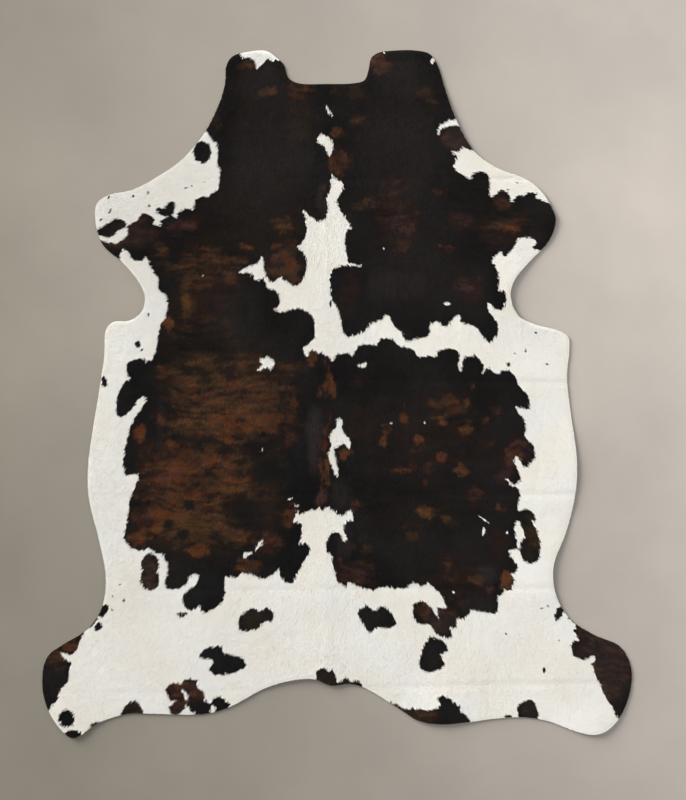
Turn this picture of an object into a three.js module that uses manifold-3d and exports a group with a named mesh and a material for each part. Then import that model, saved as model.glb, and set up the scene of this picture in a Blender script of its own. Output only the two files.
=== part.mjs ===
// A cowhide rug: one whole tanned hide with its hair on, cut round its natural outline
// and lying flat, hair side up. It is a single piece of skin, so it is a single solid,
// from the flesh side on the floor to the tips of the lying coat.
//
// Millimetres, +Z up, +Y along the back towards the neck, +X to the right in plan.
// The origin is on the floor, under the middle of the hide's box.

import * as THREE from 'three';
import { mergeVertices } from 'three/addons/utils/BufferGeometryUtils.js';
import Module from 'manifold-3d';

const wasm = await Module();
wasm.setup();

// --- Driving sizes -----------------------------------------------------------------

const SKIN = 2.8;              // tanned skin under the hair
const COAT_BACK = 5.0;         // depth of the lying hair along the back
const COAT_FLANK = 3.4;        // the same at the belly edges and shanks
const HALF_WIDTH = 985;        // from the back line to the widest shank

const BACK_LINE_X = -37;       // the backbone runs a little left of the middle
const BACK_RIDGE_HALF = 26;    // half width of the low ridge that the backbone leaves
const BACK_RIDGE_RISE = 1.6;

const CREASE_HALF = 16;        // half width of a fold line left by the folded bundle
const CREASE_DEPTH = 1.3;
const CREASE_LIP = 0.5;        // the small roll on both sides of a fold line

const SWELL_RISE = 0.7;        // slow unevenness of skin and coat
const SWELL_LENGTH = 410;      // from one swell to the next
const SWELL_SKEW = 0.3;        // how far the swells run aslant of the back

const FLOOR_CONTACT = 0.5;     // a lift lower than this lies down on the floor

const CELL = 52;               // spacing of the surface's rows and columns
const RIM_STEPS = 4;           // short chords between two landmarks of the rim
const MARGIN = 40;             // how far the uncut skin reaches past the rim
const SAME_POINT = 1e-4;       // vertices closer than this are one
const METRE = 1000;

// --- Tables ------------------------------------------------------------------------

function table(columns, rows) {
  return rows.map((row) => Object.fromEntries(columns.map((name, i) => [name, row[i]])));
}

const PLAN = ['x', 'y'];

// The rim, clockwise in plan from the left side of the neck. Each table is one stretch
// of the hide, with a landmark where its curve turns.

const NECK = table(PLAN, [
  [-374, 1036], [-369, 1100], [-348, 1130], [-298, 1144], [-237, 1148], [-201, 1125],
  [-176, 1100], [-162, 1058], [-130, 1040], [-33, 1037], [60, 1040], [92, 1050],
  [105, 1083], [114, 1123], [137, 1141], [194, 1149], [264, 1149], [311, 1137],
  [338, 1097], [361, 1023],
]);

const RIGHT_FORELEG = table(PLAN, [
  [390, 938], [423, 866], [468, 802], [544, 752], [632, 719], [682, 679],
  [720, 620], [732, 578], [709, 511], [649, 448], [592, 378],
]);

const RIGHT_FLANK = table(PLAN, [
  [580, 328], [605, 264], [662, 234], [739, 214], [774, 191], [777, 147], [769, 60],
  [781, -57], [802, -221], [796, -338], [766, -461], [725, -565], [724, -635],
]);

const RIGHT_HINDLEG = table(PLAN, [
  [745, -702], [789, -759], [866, -806], [943, -839], [979, -896], [985, -969],
  [953, -1066], [903, -1123], [859, -1137], [796, -1125],
]);

const RUMP = table(PLAN, [
  [702, -1091], [615, -1079], [518, -1085], [418, -1098], [338, -1102], [271, -1090],
  [204, -1048], [97, -983], [43, -968], [-20, -973], [-77, -951], [-167, -959],
  [-244, -984], [-364, -1048], [-448, -1069], [-632, -1067],
]);

const LEFT_HINDLEG = table(PLAN, [
  [-699, -1068], [-799, -1099], [-852, -1137], [-883, -1149], [-923, -1118],
  [-966, -1052], [-985, -969], [-969, -879], [-916, -836], [-839, -789], [-789, -725],
]);

const LEFT_FLANK = table(PLAN, [
  [-771, -622], [-794, -491], [-829, -344], [-829, -217], [-799, -20], [-777, 130],
  [-772, 214], [-747, 242], [-695, 246], [-654, 272], [-641, 321],
]);

const LEFT_FORELEG = table(PLAN, [
  [-662, 374], [-722, 445], [-781, 496], [-808, 588], [-801, 639], [-759, 667],
  [-685, 682], [-575, 742], [-513, 788], [-438, 879], [-394, 969],
]);

const RIM = [
  NECK, RIGHT_FORELEG, RIGHT_FLANK, RIGHT_HINDLEG,
  RUMP, LEFT_HINDLEG, LEFT_FLANK, LEFT_FORELEG,
].flat();

// Fold lines straight across the back, by where they cross the back line and how far
// they climb in 1 m to the right.

const CREASES = table(['y', 'climb'], [
  [715, 6], [48, -14], [-338, 4], [-655, 10], [-985, 22],
]);

// Where the rim stands off the floor: the bays between the shanks, which shrink most
// in the tanning, and the tips of the shanks. Each lift fades out at its reach.

const LIFTS = table(['x', 'y', 'reach', 'rise'], [
  [-430, 900, 190, 5], [400, 915, 190, 6],        // crooks of the neck
  [-640, 300, 210, 7], [582, 318, 230, 10],       // bays behind the forelegs
  [800, -250, 230, 6], [-832, -280, 190, 4],      // belly
  [722, -600, 210, 9], [-770, -640, 190, 6],      // bays before the hind legs
  [-80, -950, 200, 9], [345, -1104, 170, 8],      // beside the tail, and the buttock
  [870, -1140, 190, 9], [-885, -1150, 180, 9],    // tips of the hind shanks
  [740, 590, 170, 6], [-812, 610, 150, 4],        // tips of the fore shanks
]);

// --- The hide's two faces ----------------------------------------------------------

function fade(distance, reach) {
  const t = Math.max(0, 1 - distance / reach);
  return t * t * (3 - 2 * t);
}

function offFloor(x, y) {
  const rises = LIFTS.map((lift) => {
    const away = Math.hypot(x - lift.x, y - lift.y);
    return lift.rise * fade(away, lift.reach);
  });
  return Math.max(0, Math.max(...rises) - FLOOR_CONTACT);
}

function creaseY(crease, x) {
  return crease.y + crease.climb * (x - BACK_LINE_X) / METRE;
}

function creaseRelief(x, y) {
  return CREASES.reduce((sum, crease) => {
    const across = Math.abs(y - creaseY(crease, x)) / CREASE_HALF;
    const trough = -CREASE_DEPTH * fade(across, 1);
    const lip = CREASE_LIP * fade(Math.abs(across - 1), 1);
    return sum + trough + lip;
  }, 0);
}

function backRidge(x) {
  return BACK_RIDGE_RISE * fade(Math.abs(x - BACK_LINE_X), 2 * BACK_RIDGE_HALF);
}

function swell(x, y) {
  const turn = 2 * Math.PI / SWELL_LENGTH;
  const across = Math.sin(turn * (x + SWELL_SKEW * y));
  const along = Math.sin(turn * (y - SWELL_SKEW * x));
  return SWELL_RISE * across * along;
}

function thickness(x, y) {
  const outward = Math.min(1, Math.abs(x - BACK_LINE_X) / HALF_WIDTH);
  const coat = THREE.MathUtils.lerp(COAT_BACK, COAT_FLANK, outward * outward);
  return SKIN + coat + backRidge(x) + creaseRelief(x, y) + swell(x, y);
}

// --- Rows and columns of the surface ------------------------------------------------

// Places from one end to the other, about one cell apart, that include each kept line.
function stations(from, to, keptLines) {
  const stops = [from, ...keptLines, to];
  const places = [];
  for (let i = 0; i < stops.length - 1; i += 1) {
    const parts = Math.max(1, Math.round((stops[i + 1] - stops[i]) / CELL));
    for (let k = 0; k < parts; k += 1) {
      places.push(THREE.MathUtils.lerp(stops[i], stops[i + 1], k / parts));
    }
  }
  places.push(to);
  return places;
}

function withShoulders(line, half) {
  return [line - half, line, line + half];
}

const box = new THREE.Box2().setFromPoints(RIM.map(({ x, y }) => new THREE.Vector2(x, y)));
box.expandByScalar(MARGIN);

const backLines = withShoulders(BACK_LINE_X, BACK_RIDGE_HALF);
const columns = stations(box.min.x, box.max.x, backLines);

const creasesUpwards = [...CREASES].sort((a, b) => a.y - b.y);
const creaseLines = creasesUpwards.flatMap((crease) => withShoulders(crease.y, CREASE_HALF));
const rows = stations(box.min.y, box.max.y, creaseLines);

// Rows near a fold line climb with it, and those at both ends stay level.
function climbAt(y) {
  const knots = [
    { y: box.min.y, climb: 0 },
    ...creasesUpwards,
    { y: box.max.y, climb: 0 },
  ];
  const next = Math.max(1, knots.findIndex((knot) => knot.y >= y));
  const below = knots[next - 1];
  const above = knots[next];
  const t = (y - below.y) / (above.y - below.y);
  return THREE.MathUtils.lerp(below.climb, above.climb, THREE.MathUtils.clamp(t, 0, 1));
}

// --- Solids ------------------------------------------------------------------------

// A closed sheet larger than the hide: the coat's face on top, the flesh side below.
function uncutSheet() {
  const across = columns.length;
  const positions = [];
  for (const y of rows) {
    for (const x of columns) {
      const placeY = y + climbAt(y) * (x - BACK_LINE_X) / METRE;
      const floor = offFloor(x, placeY);
      positions.push(x, placeY, floor + thickness(x, placeY));
      positions.push(x, placeY, floor);
    }
  }
  const top = (row, column) => 2 * (row * across + column);
  const bottom = (row, column) => top(row, column) + 1;
  const index = [];
  const quad = (a, b, c, d) => index.push(a, b, c, a, c, d);
  for (let r = 0; r < rows.length - 1; r += 1) {
    for (let c = 0; c < across - 1; c += 1) {
      quad(top(r, c), top(r, c + 1), top(r + 1, c + 1), top(r + 1, c));
      quad(bottom(r, c), bottom(r + 1, c), bottom(r + 1, c + 1), bottom(r, c + 1));
    }
  }
  for (let c = 0; c < across - 1; c += 1) {
    const last = rows.length - 1;
    quad(bottom(0, c), bottom(0, c + 1), top(0, c + 1), top(0, c));
    quad(top(last, c), top(last, c + 1), bottom(last, c + 1), bottom(last, c));
  }
  for (let r = 0; r < rows.length - 1; r += 1) {
    const last = across - 1;
    quad(bottom(r + 1, 0), bottom(r, 0), top(r, 0), top(r + 1, 0));
    quad(top(r + 1, last), top(r, last), bottom(r, last), bottom(r + 1, last));
  }
  const geometry = new THREE.BufferGeometry();
  geometry.setAttribute('position', new THREE.Float32BufferAttribute(positions, 3));
  geometry.setIndex(index);
  return geometry;
}

// The knife that cuts the hide out: a straight prism over a smooth closed curve.
function rimPrism() {
  const landmarks = RIM.map(({ x, y }) => new THREE.Vector3(x, y, 0));
  const curve = new THREE.CatmullRomCurve3(landmarks, true, 'centripetal');
  const points = curve.getPoints(RIM.length * RIM_STEPS).slice(0, -1);
  const shape = new THREE.Shape(points.map(({ x, y }) => new THREE.Vector2(x, y)));
  const prism = new THREE.ExtrudeGeometry(shape, { depth: 2 * MARGIN, bevelEnabled: false });
  prism.translate(0, 0, -MARGIN);
  return prism;
}

function toSolid(geometry) {
  const bare = geometry.clone();
  bare.deleteAttribute('normal');
  bare.deleteAttribute('uv');
  const merged = mergeVertices(bare, SAME_POINT);
  return new wasm.Manifold(new wasm.Mesh({
    numProp: 3,
    vertProperties: new Float32Array(merged.attributes.position.array),
    triVerts: new Uint32Array(merged.index.array),
  }));
}

function toGeometry(solid) {
  const mesh = solid.getMesh();
  const geometry = new THREE.BufferGeometry();
  geometry.setAttribute('position', new THREE.BufferAttribute(mesh.vertProperties, 3));
  geometry.setIndex(new THREE.BufferAttribute(mesh.triVerts, 1));
  geometry.computeVertexNormals();
  return geometry;
}

// --- The rug -----------------------------------------------------------------------

const coat = new THREE.MeshStandardMaterial({ color: '#d9d6cc', roughness: 0.8, metalness: 0 });

const skin = toGeometry(toSolid(uncutSheet()).intersect(toSolid(rimPrism())));
skin.computeBoundingBox();
const middle = skin.boundingBox.getCenter(new THREE.Vector3());

const hide = new THREE.Mesh(skin, coat);
hide.name = 'hide';
hide.position.set(-middle.x, -middle.y, 0);

const rug = new THREE.Group();
rug.add(hide);

export default rug;
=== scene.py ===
# %% [markdown]
# # A cowhide rug with its hair on
#
# A cowhide rug is one whole tanned hide. The tanner trims it round its natural outline,
# so the neck, the four shanks and the rump still show, and it lies flat with the hair
# side up. Nothing is sewn on and nothing is lined.
#
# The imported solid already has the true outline, the fold lines and the slight lift of
# the rim. What is missing is the coat: short hair that lies down like roof tiles, in
# black, brindled brown and white. The notebook therefore reads the solid's shape, works
# out which way the hair lies and what colour it has at any place, and then lays a few
# hundred thousand small locks of hair on a skin that follows the solid.

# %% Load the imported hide
import math

import bmesh
import bpy
import numpy as np
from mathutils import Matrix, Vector
from mathutils.bvhtree import BVHTree
from mathutils.kdtree import KDTree


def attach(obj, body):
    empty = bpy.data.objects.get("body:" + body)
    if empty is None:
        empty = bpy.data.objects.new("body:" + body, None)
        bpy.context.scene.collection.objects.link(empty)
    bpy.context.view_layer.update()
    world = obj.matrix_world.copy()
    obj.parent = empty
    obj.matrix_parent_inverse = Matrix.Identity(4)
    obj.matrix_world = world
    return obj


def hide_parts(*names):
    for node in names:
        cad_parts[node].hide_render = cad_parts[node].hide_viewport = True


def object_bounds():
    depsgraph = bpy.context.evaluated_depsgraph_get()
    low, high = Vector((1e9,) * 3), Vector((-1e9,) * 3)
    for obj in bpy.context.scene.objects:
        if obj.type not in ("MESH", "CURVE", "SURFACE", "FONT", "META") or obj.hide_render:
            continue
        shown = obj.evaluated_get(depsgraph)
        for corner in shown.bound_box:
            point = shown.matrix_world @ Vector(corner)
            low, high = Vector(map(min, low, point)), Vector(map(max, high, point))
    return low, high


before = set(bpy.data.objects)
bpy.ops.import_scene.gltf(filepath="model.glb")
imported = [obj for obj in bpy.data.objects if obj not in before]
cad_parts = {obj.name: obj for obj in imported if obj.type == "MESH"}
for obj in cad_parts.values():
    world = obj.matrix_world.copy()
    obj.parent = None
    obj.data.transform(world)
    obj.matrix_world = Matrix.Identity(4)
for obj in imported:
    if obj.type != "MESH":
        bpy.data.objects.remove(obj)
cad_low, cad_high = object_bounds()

MM = 0.001
hide_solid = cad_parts["hide"]
print("hide, in metres:", [round(v, 3) for v in cad_high - cad_low])

# %% [markdown]
# ## Small helpers
#
# One helper puts objects into the scene. Every material here is a small graph of nodes, and
# the other helpers keep such a graph short to write: they fill the inputs of a node, add a
# node, start a material, mix or multiply colours, map one range of values onto another,
# draw out a texture, and give noise or a bump.

# %% Helpers
MIX_SHARE, MIX_FIRST, MIX_SECOND = 0, 6, 7  # a mix node's sockets when it mixes colours
NOISE_RANGE = (0.3, 0.7)      # noise seldom leaves this range
BUMP_HEIGHT = 0.3 * MM


def placed(name, data):
    """Puts a new object with this data into the scene."""
    made = bpy.data.objects.new(name, data)
    bpy.context.scene.collection.objects.link(made)
    return made


def set_inputs(tree, node, values):
    """Fills a node's inputs. A value that is itself a socket is linked."""
    for name, value in values.items():
        if isinstance(value, bpy.types.NodeSocket):
            tree.links.new(value, node.inputs[name])
        else:
            node.inputs[name].default_value = value


def add_node(tree, kind, inputs=None, **settings):
    """Adds a node, makes its own settings and then fills its inputs."""
    node = tree.nodes.new("ShaderNode" + kind)
    for name, value in settings.items():
        setattr(node, name, value)
    set_inputs(tree, node, inputs or {})
    return node


def new_material(name):
    """A material that has a shader and an output, its node tree, and that shader."""
    material = bpy.data.materials.new(name)
    material.use_nodes = True
    tree = material.node_tree
    tree.nodes.clear()
    shader = add_node(tree, "BsdfPrincipled")
    add_node(tree, "OutputMaterial", {"Surface": shader.outputs["BSDF"]})
    return material, tree, shader


def mix_colours(tree, share, first, second, blend="MIX"):
    """Mixes two colours; each may be a socket or a plain colour. Returns the result's socket."""
    inputs = {MIX_SHARE: share, MIX_FIRST: first, MIX_SECOND: second}
    return add_node(tree, "Mix", inputs, data_type="RGBA", blend_type=blend).outputs[2]


def multiplied(tree, first, second):
    """One colour or shade times another."""
    return mix_colours(tree, 1.0, first, second, blend="MULTIPLY")


def ranged(tree, value, low, high, new_low, new_high, smooth=False):
    """Maps a number from one range to another and keeps it inside the new one."""
    inputs = {
        "Value": value, "From Min": low, "From Max": high, "To Min": new_low, "To Max": new_high,
    }
    kind = "SMOOTHSTEP" if smooth else "LINEAR"
    return add_node(tree, "MapRange", inputs, interpolation_type=kind).outputs["Result"]


def stretched(tree, place, scale):
    """The places of a texture, multiplied by a scale along each axis."""
    return add_node(tree, "Mapping", {"Vector": place, "Scale": scale}).outputs["Vector"]


def noise(tree, place, scale, detail, **more):
    """Smooth noise, mostly between 0.3 and 0.7."""
    inputs = {"Vector": place, "Scale": scale, "Detail": detail, **more}
    return add_node(tree, "TexNoise", inputs).outputs["Fac"]


def bump(tree, height, strength):
    """A surface direction that is tilted by a height."""
    inputs = {"Height": height, "Strength": strength, "Distance": BUMP_HEIGHT}
    return add_node(tree, "Bump", inputs).outputs["Normal"]


# %% [markdown]
# ## The camera
#
# The rug lies on the floor and is seen from straight above, through a long lens, so that
# the shanks are not drawn out at the corners of the picture. A camera without any turn
# looks down, with the neck at the top, and the lens follows from how much floor the
# picture should take in from that height.

# %% Camera
CAMERA_HEIGHT = 6.0
PICTURE_HEIGHT = 2.674        # metres of floor from the top to the bottom of the picture
PICTURE_CENTRE = (0.020, -0.020)
SENSOR = 36.0                 # millimetres on the picture's long side

camera_data = bpy.data.cameras.new("overhead camera")
camera_data.sensor_width = SENSOR
camera_data.lens = SENSOR * CAMERA_HEIGHT / PICTURE_HEIGHT
camera = placed("overhead camera", camera_data)
camera.location = (*PICTURE_CENTRE, CAMERA_HEIGHT)
bpy.context.scene.camera = camera
print("lens:", round(camera_data.lens, 1), "mm")

# %% [markdown]
# ## Floor and light
#
# The floor is a plain plaster with hardly any gloss and the faint clouds of a trowel.
# Light and shade are painted into it as well: it is painted paler to the right, and two
# soft bands of painted light and shade make it a touch paler from the middle up and darker
# behind the neck. The light is one very broad lamp to the upper left, so low that even
# the rim of a rug under two centimetres thick throws a soft shadow a hand's breadth wide,
# and an even pale surrounding that fills it. Colours are shown without a film's soft
# curve, so that black hair stays black.

# %% Floor
FLOOR_HALF = 30.0
# painted light and shade: the floor runs from the shaded colour at the left to the lit one at the
# right
FLOOR_PAINTED_LIT = (0.578, 0.525, 0.478, 1)
FLOOR_PAINTED_SHADE = (0.215, 0.194, 0.158, 1)
PAINTED_LIGHT_SLANT = (0.95, 0.30, 0)  # the way in which the floor is painted paler, as painted light
PAINTED_LIGHT_DRIFT = 1.5             # metres from the middle to where the painted light's drift ends
PAINTED_LIGHT_DELAY = 1.4             # above 1, the painted light's drift starts slowly
FLOOR_CLOUDS = (0.93, 1.07)
PAINTED_LIGHT_BANDS = [               # painted light and shade: low and high y in metres, and the shade below and above them
    (-0.35, 0.25, 1.0, 1.09), (0.45, 1.35, 1.0, 0.84),
]
FLOOR_DROP = 0.3 * MM         # the floor lies this far under the hide's underside


def plaster():
    """Plaster with faint clouds, painted paler to the right and with two bands of painted light and
    shade.
    """
    material, tree, shader = new_material("plaster with painted light")
    place = add_node(tree, "TexCoord").outputs["Object"]
    light_slant = add_node(tree, "VectorMath", {0: place, 1: PAINTED_LIGHT_SLANT}, operation="DOT_PRODUCT")
    drift = ranged(tree, light_slant.outputs["Value"], -PAINTED_LIGHT_DRIFT, PAINTED_LIGHT_DRIFT, 0, 1)
    painted_light = add_node(tree, "Math", {0: drift, 1: PAINTED_LIGHT_DELAY}, operation="POWER").outputs[0]
    colour = mix_colours(tree, painted_light, FLOOR_PAINTED_SHADE, FLOOR_PAINTED_LIT)
    clouds = noise(tree, place, scale=2.2, detail=4.0, Roughness=0.55)
    colour = multiplied(tree, colour, ranged(tree, clouds, *NOISE_RANGE, *FLOOR_CLOUDS))
    along = add_node(tree, "SeparateXYZ", {0: place}).outputs["Y"]
    for light_band in PAINTED_LIGHT_BANDS:
        colour = multiplied(tree, colour, ranged(tree, along, *light_band, smooth=True))
    set_inputs(tree, shader, {"Base Color": colour, "Roughness": 0.9, "Specular IOR Level": 0.2})
    return material


floor_shape = bmesh.new()
bmesh.ops.create_grid(floor_shape, x_segments=1, y_segments=1, size=FLOOR_HALF)
bmesh.ops.translate(floor_shape, verts=floor_shape.verts, vec=(0, 0, cad_low.z - FLOOR_DROP))
floor_mesh = bpy.data.meshes.new("floor")
floor_shape.to_mesh(floor_mesh)
floor_shape.free()
floor_mesh.materials.append(plaster())
placed("floor", floor_mesh)

# %% Lights
LAMP_PLACE = Vector((-12.0, 9.2, 6.0))
LAMP_SIZE = 9.6
LAMP_POWER = 4150.0
LAMP_COLOUR = (1.0, 0.97, 0.92)
SURROUND = (0.97, 0.98, 1.0, 1)
SURROUND_STRENGTH = 0.63

lamp_data = bpy.data.lights.new("broad lamp", "AREA")
lamp_data.shape = "DISK"
lamp_data.size = LAMP_SIZE
lamp_data.energy = LAMP_POWER
lamp_data.color = LAMP_COLOUR
lamp = placed("broad lamp", lamp_data)
lamp.location = LAMP_PLACE
lamp.rotation_euler = LAMP_PLACE.to_track_quat("Z", "Y").to_euler()

surround = bpy.data.worlds.new("pale surround")
surround.use_nodes = True
background = surround.node_tree.nodes["Background"]
set_inputs(surround.node_tree, background, {"Color": SURROUND, "Strength": SURROUND_STRENGTH})
bpy.context.scene.world = surround
bpy.context.scene.view_settings.view_transform = "Standard"
lamp_climb = math.asin(LAMP_PLACE.normalized().z)
print("lamp height over the floor:", round(math.degrees(lamp_climb)), "degrees")

# %% [markdown]
# ## Reading the solid's relief
#
# The coat has to follow the solid's top, with its fold lines and lifted rim. Casting a
# ray for each of several hundred thousand locks would be slow, so the solid is sounded
# once from above, over an even grid, and any place between the grid's points is read
# from its four neighbours. A second grid holds how far each place lies inside the rim,
# which tells the locks where to stop.

# %% Sound the solid
SAME_POINT = 0.01 * MM        # points closer than this are one
GRID_STEP = 6 * MM
GRID_EDGE = 30 * MM           # how far the grid reaches past the hide
FILL_ROUNDS = 6               # cells that the relief is carried on past the rim
FAR_ABOVE = 1.0               # rays start this many metres over the floor
LAST_CELL = 1.001             # keeps every place a little inside the grid's last cell

grid_x = np.arange(cad_low.x - GRID_EDGE, cad_high.x + GRID_EDGE, GRID_STEP)
grid_y = np.arange(cad_low.y - GRID_EDGE, cad_high.y + GRID_EDGE, GRID_STEP)

solid_shape = bmesh.new()
solid_shape.from_mesh(hide_solid.data)
bmesh.ops.remove_doubles(solid_shape, verts=solid_shape.verts, dist=SAME_POINT)
solid_tree = BVHTree.FromBMesh(solid_shape)


def sounded():
    """The solid's height at each grid point, from above, with nan where a ray misses it."""
    down = Vector((0, 0, -1))
    found = np.full((len(grid_x), len(grid_y)), np.nan)
    for i, x in enumerate(grid_x):
        for j, y in enumerate(grid_y):
            hit = solid_tree.ray_cast(Vector((x, y, FAR_ABOVE)), down)[0]
            if hit is not None:
                found[i, j] = hit.z
    return found


def carried_on(values):
    """Fills the gaps round the measured cells with the mean of their neighbours."""
    filled = values.copy()
    for _ in range(FILL_ROUNDS):
        around = np.stack([np.roll(filled, turn, axis) for axis in (0, 1) for turn in (1, -1)])
        known = ~np.isnan(around)
        total = np.where(known, around, 0).sum(0)
        empty = np.isnan(filled) & known.any(0)
        filled[empty] = total[empty] / known.sum(0)[empty]
    return np.where(np.isnan(filled), np.nanmean(values), filled)


top_grid = sounded()
on_hide = ~np.isnan(top_grid)
top_grid = carried_on(top_grid)
print("area of the hide:", round(on_hide.sum() * GRID_STEP ** 2, 3), "square metres")


def blended(values, i, j, next_i, next_j, s, t):
    """The value between four neighbours in a table, s and t of the way to the next ones."""
    near = values[i, j] * (1 - s) + values[next_i, j] * s
    far = values[i, next_j] * (1 - s) + values[next_i, next_j] * s
    return near * (1 - t) + far * t


def read_grid(values, x, y):
    """Reads a grid at places between its points."""
    u = np.clip((x - grid_x[0]) / GRID_STEP, 0, len(grid_x) - LAST_CELL)
    v = np.clip((y - grid_y[0]) / GRID_STEP, 0, len(grid_y) - LAST_CELL)
    i, j = u.astype(int), v.astype(int)
    return blended(values, i, j, i + 1, j + 1, u - i, v - j)


# %% Distance to the rim
RIM_SPACING = 2 * MM
UPRIGHT = 0.5                 # a face whose normal climbs less than this is the rim's wall


def rim_points():
    """Points along the upper edge of the solid's wall."""
    points = []
    for edge in solid_shape.edges:
        climbs = [face.normal.z for face in edge.link_faces]
        if max(climbs) > UPRIGHT and abs(min(climbs, key=abs)) < UPRIGHT:
            a, b = (vert.co for vert in edge.verts)
            parts = max(1, math.ceil((b - a).length / RIM_SPACING))
            points += [a.lerp(b, k / parts) for k in range(parts)]
    return points


rim = rim_points()
rim_tree = KDTree(len(rim))
for number, point in enumerate(rim):
    rim_tree.insert((point.x, point.y, 0), number)
rim_tree.balance()

from_rim = np.array([[rim_tree.find((x, y, 0))[2] for y in grid_y] for x in grid_x])
inside_grid = np.where(on_hide, from_rim, -from_rim)
inward_x, inward_y = np.gradient(inside_grid, GRID_STEP)
print("rim points:", len(rim))

# %% [markdown]
# ## Random waves
#
# Nothing on a hide is quite even: the hair swirls a little, patches end in ragged teeth,
# and the brindle comes in broken streaks. All of these start from one helper, a field of
# smooth random waves. It takes its numbers from a seeded table, so that it gives the same
# hide each time, and its two lengths may differ, which draws the waves out into streaks.

# %% Waves
WAVE_TABLE = 128              # random numbers along each side of a field's table
WAVE_SHIFT = (31, 57)         # cells by which the table is shifted against the hide
FIELDS = {                    # length and width of the waves in mm, and their seed
    "swirl": (160, 160, 11), "wisp bend": (160, 120, 21), "sheen_and_wear": (8, 30, 24),
    "slow tint": (70, 40, 33), "quick tint": (26, 14, 35),
    "tufts": (13, 13, 31), "teeth ahead": (7, 7, 32), "teeth aside": (7, 7, 34),
}


def eased_share(t):
    """A soft S from 0 to 1."""
    return t * t * (3 - 2 * t)


def eased(value, low, high):
    """0 below low, 1 above high, and a soft S between them."""
    return eased_share(np.clip((value - low) / (high - low), 0, 1))


def waves(x, y, length, width, seed):
    """Smooth random waves from 0 to 1, with crests about this many mm apart along x and y."""
    table = np.random.default_rng(seed).random((WAVE_TABLE, WAVE_TABLE))
    u, v = x / (length * MM) + WAVE_SHIFT[0], y / (width * MM) + WAVE_SHIFT[1]
    i, j = np.floor(u).astype(int), np.floor(v).astype(int)
    s, t = eased_share(u - i), eased_share(v - j)
    cells = (i % WAVE_TABLE, j % WAVE_TABLE, (i + 1) % WAVE_TABLE, (j + 1) % WAVE_TABLE)
    return blended(table, *cells, s, t)


def swing(name, x, y):
    """The waves of one named field, from -1 to 1."""
    return 2 * (waves(x, y, *FIELDS[name]) - 0.5)


# %% [markdown]
# ## Which way the hair lies
#
# On a cow the hair runs from the head towards the tail, turns outwards and down over the
# ribs and belly, and runs down each leg. On the flat hide that becomes a flow: straight
# towards the tail along the back line, slanting outwards on the flanks, and along each
# shank. A short table gives each shank its own pull, which fades with the distance.

# %% Flow of the hair
BACK_LINE = -37 * MM
FLANK_TURN = 380 * MM         # sideways distance over which the hair turns outwards
FLANK_PULL = 0.75             # outward pull at the belly, where the tailward pull is 1
SWIRL = 0.35                  # radians of slow swirl

SHANK_PULLS = [               # x, y and reach in millimetres, then the pull along x and y
    (640, 610, 200, 2.4, 0.4), (-700, 600, 190, -2.4, 0.2), (880, -980, 230, 1.2, -1.0),
    (-890, -990, 230, -1.2, -1.0), (-270, 1110, 90, -0.3, 0.0), (230, 1110, 90, 0.3, 0.0),
]


def hair_flow(x, y):
    """The direction in which the hair points, as the two parts of a unit vector."""
    sideways = FLANK_PULL * np.tanh((x - BACK_LINE) / FLANK_TURN)
    along = -np.ones_like(x)
    for centre_x, centre_y, reach, pull_x, pull_y in SHANK_PULLS:
        away = np.hypot(x - centre_x * MM, y - centre_y * MM) / (reach * MM)
        pull = np.exp(-away * away)
        sideways = sideways + pull * pull_x
        along = along + pull * pull_y
    heading = np.arctan2(along, sideways) + SWIRL * swing("swirl", x, y)
    return np.cos(heading), np.sin(heading)
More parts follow.
